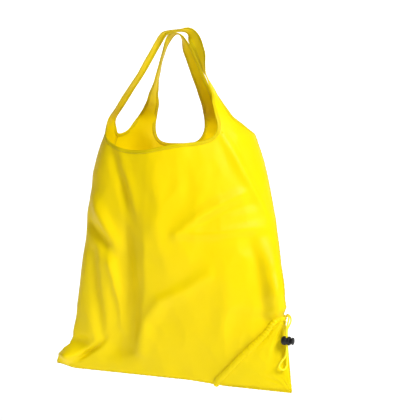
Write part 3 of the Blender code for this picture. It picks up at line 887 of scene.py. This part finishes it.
def steel_material(name):
    made, tree, shader = material(name, (0.55, 0.55, 0.56), 0.3)
    shader.inputs["Metallic"].default_value = 1.0
    position = tree.nodes.new("ShaderNodeTexCoord").outputs["Object"]
    vary_roughness(tree, shader, position, 0.22, 0.40, 900.0)
    return made


POLYESTER = cloth_material("polyester_cloth", (0.955, 0.775, 0.0), 620.0, 42.0, 0.44)
# The hem and seam cloth is the same polyester painted darker: painted shade along the folded hems and the seams.
SHADED_HEM_CLOTH = cloth_material("hem_cloth_painted_shade", (0.80, 0.65, 0.0), 620.0, 120.0, 0.48)
THREAD = yarn_material("polyester_thread", (0.80, 0.66, 0.01), 4000.0, 0.45)
CORD_YARN = yarn_material("braided_yarn", (0.93, 0.78, 0.01), 3000.0, 0.62)
BLACK = plastic_material("moulded_black", (0.008, 0.008, 0.009))
STEEL = steel_material("spring_wire")

# ---------------------------------------------------------------- drawcord

CORD_DIAMETER = 0.0026
CORD_ROUTE = (
    (0.1774, 0.0153, -0.4266),
    (0.1790, 0.0177, -0.4252),
    (0.1822, 0.0176, -0.4232),
    (0.1858, 0.0140, -0.4222),
    (0.1884, 0.0084, -0.4238),
    (0.1895, 0.0035, -0.4272),
    (0.1897, -0.0005, -0.4315),
    (0.1895, -0.0030, -0.4356),
    (0.1894, -0.0041, -0.4400),
    (0.1894, -0.0041, -0.4520),
    (0.1894, -0.0041, -0.4640),
    (0.1894, -0.0041, -0.4740),
    (0.1874, -0.0053, -0.4800),
    (0.1829, -0.0067, -0.4865),
    (0.1794, -0.0069, -0.4925),
    (0.1806, -0.0061, -0.4982),
    (0.1852, -0.0043, -0.4992),
    (0.1888, -0.0025, -0.4945),
    (0.1900, -0.0013, -0.4860),
    (0.1894, -0.0009, -0.4740),
    (0.1894, -0.0009, -0.4640),
    (0.1894, -0.0009, -0.4520),
    (0.1894, -0.0009, -0.4400),
    (0.1914, 0.0012, -0.4342),
    (0.1925, 0.0058, -0.4284),
    (0.1904, 0.0112, -0.4240),
    (0.1864, 0.0162, -0.4214),
    (0.1816, 0.0206, -0.4214),
    (0.1767, 0.0250, -0.4265),
)
BRAID_STRANDS = 4
BRAID_PITCH = 0.0034
BRAID_DEPTH = 0.07


def braided_tube(name, line, radius, material):
    """A round braided cord: two crossing sets of strands stand a little proud of each other."""
    sides = 24
    points, faces = [], []
    up = Vector((0.0, -1.0, 0.0))
    travelled = 0.0
    for k, place in enumerate(line):
        run = (line[min(len(line) - 1, k + 1)] - line[max(0, k - 1)]).normalized()
        up = (up - run * up.dot(run)).normalized()
        side = run.cross(up)
        if k:
            travelled += (place - line[k - 1]).length
        phase = 2 * math.pi * travelled / BRAID_PITCH
        for j in range(sides):
            turn = 2 * math.pi * j / sides
            one = math.cos(BRAID_STRANDS * turn + phase)
            other = math.cos(BRAID_STRANDS * turn - phase)
            size = radius * (1.0 - BRAID_DEPTH + BRAID_DEPTH * max(one, other))
            points.append(place + (side * math.cos(turn) + up * math.sin(turn)) * size)
    for k in range(len(line) - 1):
        for j in range(sides):
            a = k * sides + j
            b = k * sides + (j + 1) % sides
            faces.append((a, b, b + sides, a + sides))
    faces.append(tuple(reversed(range(sides))))
    faces.append(tuple(range((len(line) - 1) * sides, len(line) * sides)))
    obj = mesh_from(name, points, faces, material)
    fix_normals(obj)
    return obj


def make_drawcord():
    route = [Vector(p) for p in CORD_ROUTE]
    length = sum((b - a).length for a, b in zip(route, route[1:]))
    line = catmull(route, round(length / 0.0006))
    length = sum((b - a).length for a, b in zip(line, line[1:]))
    loop = braided_tube("drawcord", line, CORD_DIAMETER / 2, CORD_YARN)
    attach(loop, "bag")
    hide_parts("drawcord_loop")
    return loop, line, length


# ---------------------------------------------------------------- cord lock

LOCK = Vector((0.1894, -0.0025, -0.4560))
LATHE_STEPS = 56


def lathe(name, profile, material, holes):
    """A turned piece about the lock's axis, from (place along, radius), with a slot cut for the cords."""
    points, faces = [], []
    for along, radius in profile:
        for j in range(LATHE_STEPS):
            turn = 2 * math.pi * j / LATHE_STEPS
            points.append(LOCK + Vector((along, radius * math.cos(turn), radius * math.sin(turn))))
    for k in range(len(profile) - 1):
        for j in range(LATHE_STEPS):
            a = k * LATHE_STEPS + j
            b = k * LATHE_STEPS + (j + 1) % LATHE_STEPS
            faces.append((a, b, b + LATHE_STEPS, a + LATHE_STEPS))
    faces.append(tuple(range(LATHE_STEPS)))
    faces.append(tuple((len(profile) - 1) * LATHE_STEPS + j for j in range(LATHE_STEPS)))
    obj = mesh_from(name, points, faces, material)
    fix_normals(obj)
    left, right, deep = holes
    shape = bmesh.new()
    bmesh.ops.create_cube(shape, size=1.0)
    for vertex in shape.verts:
        vertex.co = LOCK + Vector(((left + right) / 2 + vertex.co.x * (right - left),
                                   vertex.co.y * deep, vertex.co.z * 0.04))
    mesh = bpy.data.meshes.new(name + "_slot")
    shape.to_mesh(mesh)
    shape.free()
    cutter = link(bpy.data.objects.new(name + "_slot", mesh))
    cut = obj.modifiers.new("slot", "BOOLEAN")
    cut.operation = "DIFFERENCE"
    cut.object = cutter
    apply_modifiers(obj)
    bpy.data.objects.remove(cutter, do_unlink=True)
    obj.data.set_sharp_from_angle(angle=math.radians(40))
    return obj


def rounded(points, radius, steps=4):
    """A profile with its inner corners rounded."""
    result = [points[0]]
    for before, here, after in zip(points, points[1:], points[2:]):
        a, b, c = Vector(before), Vector(here), Vector(after)
        reach = min(radius, (a - b).length * 0.45, (c - b).length * 0.45)
        start = b + (a - b).normalized() * reach
        end = b + (c - b).normalized() * reach
        for k in range(steps + 1):
            t = k / steps
            result.append(tuple(start * (1 - t) ** 2 + b * (2 * t * (1 - t)) + end * t ** 2))
    result.append(points[-1])
    return result


def make_lock():
    outer = rounded((
        (-0.0070, 0.0002), (-0.0070, 0.0046), (0.0056, 0.0046), (0.0056, 0.0060), (0.0046, 0.0067), (0.0026, 0.0067),
        (0.0014, 0.0059), (0.0002, 0.0059), (-0.0010, 0.0067), (-0.0058, 0.0067), (-0.0082, 0.0042),
        (-0.0082, 0.0002)), 0.0009)
    barrel = lathe("cord_lock_barrel", outer, BLACK, (-0.0016, 0.0016, 0.0066))
    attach(barrel, "cord_lock")
    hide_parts("lock_barrel")
    head = rounded((
        (0.0112, 0.0002), (0.0112, 0.0022), (0.0108, 0.0026), (0.0108, 0.0046), (0.0100, 0.0056), (0.0084, 0.0056),
        (0.0084, 0.0043), (-0.0028, 0.0043), (-0.0028, 0.0002)), 0.0005)
    button = lathe("cord_lock_button", head, BLACK, (-0.0016, 0.0041, 0.0066))
    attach(button, "lock_button")
    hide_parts("lock_plunger")
    return barrel, button, make_spring()


SPRING_ENDS = (-0.0062, -0.0034)
SPRING_RADIUS = 0.0029
SPRING_WIRE = 0.00035
SPRING_TURNS = 3


def make_spring():
    """The coil between the bore's end and the button's stem, which gets shorter as the button goes in."""
    steps = SPRING_TURNS * 20
    coil = []
    for k in range(steps + 1):
        turn = 2 * math.pi * SPRING_TURNS * k / steps
        along = SPRING_ENDS[0] + (SPRING_ENDS[1] - SPRING_ENDS[0]) * k / steps
        coil.append(LOCK + Vector((along, SPRING_RADIUS * math.cos(turn), SPRING_RADIUS * math.sin(turn))))
    spring = tube_mesh("cord_lock_spring", coil, [SPRING_WIRE] * len(coil), STEEL)
    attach(spring, "cord_lock")
    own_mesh(spring)
    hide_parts("lock_spring")
    return spring


# ---------------------------------------------------------------- corner pouch

POUCH_SIDE = 0.103
POUCH_BOTTOM = 0.118
POUCH_LIFT = 0.0016
POUCH_PUFF = 0.0028
GATHERS = 12
GATHER_DEPTH = 0.0058
GATHER_REACH = 0.034
POUCH_EXIT = (0.178, -0.424)
CASING_LIFT = 0.0028
CASING_PUFF = 0.0026
CASING_HALF = 0.0050
CASING_THICK = 0.0018
CASING_BELOW = 0.0030


def pouch_point(face, along, up, lift):
    corner_z = BOTTOM_Z + 0.0039
    side_z = corner_z + (BOTTOM_Z + POUCH_SIDE - corner_z) * up
    bunch = 0.0075 * up ** 3 * math.exp(-((along - 0.11) / 0.08) ** 2)
    x_right = half_width(side_z) - 0.0027
    x_left = BOTTOM_HALF - 0.0047 - POUCH_BOTTOM * up
    z = side_z + (corner_z - side_z) * along + bunch
    x = x_right + (x_left - x_right) * along
    half = half_width(z) - 0.0027
    turn = math.acos(-min(x, half - 0.0008) / half)
    across_fold = fold_height(FRONT_FOLDS if face < 0 else BACK_FOLDS, x, z) * smooth((z - BOTTOM_Z) / EDGE_CALM)
    return section_point(turn if face < 0 else -turn, z, face, lift + max(0.0, across_fold))


def gather(point):
    """Ridges of the gathered cloth, spreading from the cord's exit and fading with distance."""
    away = Vector((point.x - POUCH_EXIT[0], point.z - POUCH_EXIT[1]))
    turn = math.atan2(-away.y, -away.x)
    wave = math.sin(GATHERS * turn + 1.6 * noise.noise(Vector((turn * 2.5, point.y * 9, 3.0))))
    wave += 0.5 * math.sin(2.3 * GATHERS * turn + 4.0)
    far = away.length
    return GATHER_DEPTH * (0.5 + 0.5 * wave) * smooth(far / 0.010) * math.exp(-far / GATHER_REACH)


def make_pouch(name, face, node_name):
    rows, cols = 46, 110
    points, faces = [], []
    for r in range(rows + 1):
        up = 0.03 + 0.945 * r / rows
        for c in range(cols + 1):
            along = c / cols
            lift = POUCH_LIFT + POUCH_PUFF * up * math.sin(math.pi * along) ** 0.8
            lift += 0.0007 * noise.noise(Vector((along * 9, up * 6, face * 2.0))) * math.sin(math.pi * along)
            flat = pouch_point(face, along, up, lift)
            calm = smooth(up / 0.15) * smooth(along / 0.04) * smooth((1 - along) / 0.05)
            points.append(pouch_point(face, along, up, max(0.0010, lift + gather(flat) * calm)))
    for r in range(rows):
        for c in range(cols):
            a = r * (cols + 1) + c
            quad = (a, a + 1, a + cols + 2, a + cols + 1)
            faces.append(quad[::-1] if face < 0 else quad)
    obj = thicken(mesh_from(name, points, faces, POLYESTER), CLOTH)
    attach(obj, "bag")
    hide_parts(node_name)
    return obj


def channel_line():
    half = []
    for k in range(40):
        along = 0.97 * k / 39
        half.append((along, CASING_LIFT + CASING_PUFF * math.sin(math.pi * along) ** 0.8))
    front = [pouch_point(-1, along, 1.0, lift) for along, lift in half]
    back = [pouch_point(1, along, 1.0, lift) for along, lift in reversed(half)]
    turn_x = (front[-1].x + back[0].x) / 2 - 0.003
    under = []
    for degrees in (-75, -45, -15, 15, 45, 75):
        lean = math.radians(degrees)
        under.append(Vector((turn_x, 0.0, BOTTOM_Z - corner_sag(turn_x, BOTTOM_Z))) + Vector((0.0, math.sin(lean), -math.cos(lean))) * CASING_BELOW)
    return front, under, back


def make_casing():
    front, under, back = channel_line()
    line = catmull(front + under + back, 420)
    inner = braided_tube("drawcord_in_casing", line, CORD_DIAMETER / 2, CORD_YARN)
    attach(inner, "bag")
    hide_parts("drawcord_run")
    sides = 20
    points, faces = [], []
    total = len(line) - 1
    for k, place in enumerate(line):
        run = (line[min(total, k + 1)] - line[max(0, k - 1)]).normalized()
        share = k / total
        centre = 0.5 - abs(share - 0.5)
        near_turn = math.exp(-((share - 0.5) / 0.012) ** 2)
        out = Vector((0.0, -1.0 if share < 0.5 else 1.0, 0.0))
        if near_turn > 0.02:
            angle = (share - 0.5) / 0.024 * math.pi / 2
            out = Vector((0.0, math.sin(max(-1.57, min(1.57, angle))), -math.cos(max(-1.57, min(1.57, angle)))))
        out = (out - run * out.dot(run)).normalized()
        side = run.cross(out)
        tight = math.exp(-centre / 0.10)
        wave = math.sin(2 * math.pi * share * 64 + 2.0 * noise.noise(Vector((share * 21, 3.0, 0.0))))
        wide = CASING_HALF * (1.0 - 0.30 * tight) * (1.0 + (0.05 + 0.16 * tight) * wave) * (1.0 - 0.60 * near_turn)
        thick = CASING_THICK * (1.0 + (0.08 + 0.30 * tight) * wave) * (1.0 - 0.20 * near_turn)
        for j in range(sides):
            turn = 2 * math.pi * j / sides
            across = math.copysign(abs(math.cos(turn)) ** 1.3, math.cos(turn))
            points.append(place + side * (across * wide) + out * (math.sin(turn) * thick))
    for k in range(total):
        for j in range(sides):
            a = k * sides + j
            b = k * sides + (j + 1) % sides
            faces.append((a, b, b + sides, a + sides))
    obj = mesh_from("pouch_casing_cloth", points, faces, POLYESTER)
    fix_normals(obj)
    thicken(obj, CLOTH)
    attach(obj, "bag")
    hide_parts("pouch_casing")
    return obj


# ---------------------------------------------------------------- seams and bar tacks

SEAM_HALF = 0.0012


def seam_radius(k):
    return SEAM_HALF * (1.0 + 0.14 * math.sin(k * 1.7) + 0.18 * noise.noise(Vector((k * 0.21, 5.0, 0.0))))


def make_side_seam(name, side, node_name):
    steps = 210
    across = 0.0 if side < 0 else 1.0
    line = []
    for k in range(steps + 1):
        z = BOTTOM_Z + 0.0012 + (SHOULDER_Z - 0.0012 - BOTTOM_Z - 0.0012) * k / steps
        line.append((cloth_point(-1, across, z) + cloth_point(1, across, z)) / 2)
    obj = tube_mesh(name, line, [seam_radius(k) for k in range(steps + 1)], SHADED_HEM_CLOTH)
    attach(obj, "bag")
    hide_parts(node_name)


def make_bottom_seam():
    steps = 220
    line = []
    for k in range(steps + 1):
        across = k / steps
        line.append((cloth_point(-1, across, BOTTOM_Z) + cloth_point(1, across, BOTTOM_Z)) / 2)
    obj = tube_mesh("bottom_seam_cloth", line, [seam_radius(k + 7) for k in range(steps + 1)], SHADED_HEM_CLOTH)
    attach(obj, "bag")
    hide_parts("bottom_seam")


def make_bartack(name, side, node_name):
    low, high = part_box(node_name)
    centre = (Vector(low) + Vector(high)) / 2
    across = 0.0 if side < 0 else 1.0
    here = (cloth_point(-1, across, centre.z) + cloth_point(1, across, centre.z)) / 2
    centre = Vector((here.x, here.y, centre.z))
    twist = MOUTH_TWIST * rise(centre.z)
    normal = Vector((side * math.cos(twist), side * math.sin(twist), 0.0))
    run = Vector((-math.sin(twist), math.cos(twist), 0.0))
    places = []
    for k in range(15):
        height = (k - 7) * 0.00062
        places.append((centre + Vector((0.0, 0.0, height)) + normal * 0.0010, run, normal))
    points, faces = [], []
    for place, along, up in places:
        row = stitch_bead(place, along, up, 0.0030, 0.00034)
        base = len(points)
        points += row[0]
        faces += [tuple(i + base for i in f) for f in row[1]]
    obj = mesh_from(name, points, faces, THREAD)
    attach(obj, "bag")
    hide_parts(node_name)


def stitch_bead(place, run, normal, length, radius):
    side = run.cross(normal).normalized()
    points, faces = [], []
    for along, size in ((-0.5, 0.3), (-0.4, 0.85), (0.0, 1.0), (0.4, 0.85), (0.5, 0.3)):
        for j in range(6):
            turn = 2 * math.pi * j / 6
            points.append(place + run * (along * length)
                          + (side * math.cos(turn) + normal * math.sin(turn)) * radius * size)
    for r in range(4):
        for j in range(6):
            a, b = r * 6 + j, r * 6 + (j + 1) % 6
            faces.append((a, b, b + 6, a + 6))
    faces.append(tuple(reversed(range(6))))
    faces.append(tuple(24 + j for j in range(6)))
    return points, faces


# ---------------------------------------------------------------- stage

def make_stage():
    """A pale floor that curves up into a wall behind the bag."""
    profile = [(FLOOR_FRONT, 0.0), (2.6, 0.0)]
    for k in range(1, 13):
        turn = math.pi / 2 * k / 12
        profile.append((2.6 + 0.8 * math.sin(turn), 0.8 - 0.8 * math.cos(turn)))
    profile.append((3.4, 3.4))
    points, faces = [], []
    for y, z in profile:
        for x in (-4.5, 4.5):
            points.append((x, y, z + FLOOR_Z))
    for k in range(len(profile) - 1):
        faces.append((2 * k, 2 * k + 1, 2 * k + 3, 2 * k + 2))
    made, tree, shader = material("stage_white", (0.93, 0.93, 0.93), 0.9, 0.0)
    shader.inputs["Emission Color"].default_value = (1.0, 1.0, 1.0, 1.0)
    shader.inputs["Emission Strength"].default_value = STAGE_GLOW
    floor = mesh_from("stage_floor", points, faces, made)
    floor.rotation_euler = (0.0, 0.0, AZIMUTH)


FLOOR_Z = -0.75
FLOOR_FRONT = -1.2
STAGE_GLOW = 0.64
SKY_BELOW = 0.08
SKY_ABOVE = 0.30


def area_light(name, place, target, size, power):
    data = bpy.data.lights.new(name, "AREA")
    data.shape = "SQUARE"
    data.size = size
    data.energy = power
    lamp = link(bpy.data.objects.new(name, data))
    lamp.location = place
    lamp.rotation_euler = (Vector(target) - Vector(place)).to_track_quat("-Z", "Y").to_euler()


def make_lights():
    middle = (0.0, 0.0, -0.28)
    right, back = CAMERA_RIGHT, CAMERA_BACK
    area_light("key_softbox", right * 1.2 - back * 1.75 + Vector((0, 0, 1.3)), middle, 0.8, 78.0)
    world = bpy.data.worlds.new("studio")
    SCENE.world = world
    world.use_nodes = True
    background = world.node_tree.nodes["Background"]
    background.inputs["Color"].default_value = (1.0, 1.0, 1.0, 1.0)
    background.inputs["Strength"].default_value = 1.0
    tree = world.node_tree
    upwards = tree.nodes.new("ShaderNodeSeparateXYZ")
    tree.links.new(tree.nodes.new("ShaderNodeTexCoord").outputs["Generated"], upwards.inputs["Vector"])
    sky = tree.nodes.new("ShaderNodeMapRange")
    for socket, value in (("From Min", -1.0), ("From Max", 1.0), ("To Min", SKY_BELOW), ("To Max", SKY_ABOVE)):
        sky.inputs[socket].default_value = value
    tree.links.new(upwards.outputs["Z"], sky.inputs["Value"])
    tree.links.new(sky.outputs["Result"], background.inputs["Color"])
    SCENE.view_settings.view_transform = "Standard"


# ---------------------------------------------------------------- assembly


def main():
    loop, line, length = make_drawcord()
    barrel, button, spring = make_lock()
    for name, face, body in (("front", -1, "front_handle"), ("back", 1, "back_handle")):
        cloth = fabric(name + "_cloth", face, POLYESTER)
        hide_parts(name + "_panel", name + "_handle")
        side = "left" if face < 0 else "right"
        pieces = [cloth]
        for kind, nodes in (("mouth", (name + "_mouth_hem", name + "_handle_inner_hem")),
                            ("side", (name + "_handle_outer_hem", side + "_side_cut_hem"))):
            hem, thread = hem_with_stitches(name + "_" + kind + "_hem_cloth", face, kind, SHADED_HEM_CLOTH, THREAD)
            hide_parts(*nodes)
            pieces += [hem, thread]
        for piece in pieces:
            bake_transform(piece)
    make_side_seam("left_seam_cloth", -1, "left_side_seam")
    make_side_seam("right_seam_cloth", 1, "right_side_seam")
    make_bottom_seam()
    for name, face in (("pouch_front", -1), ("pouch_back", 1)):
        pouch = make_pouch(name + "_cloth", face, name)
    make_casing()
    make_bartack("left_bartack_thread", -1, "left_bartack")
    make_bartack("right_bartack_thread", 1, "right_bartack")
    make_stage()
    make_lights()


main()
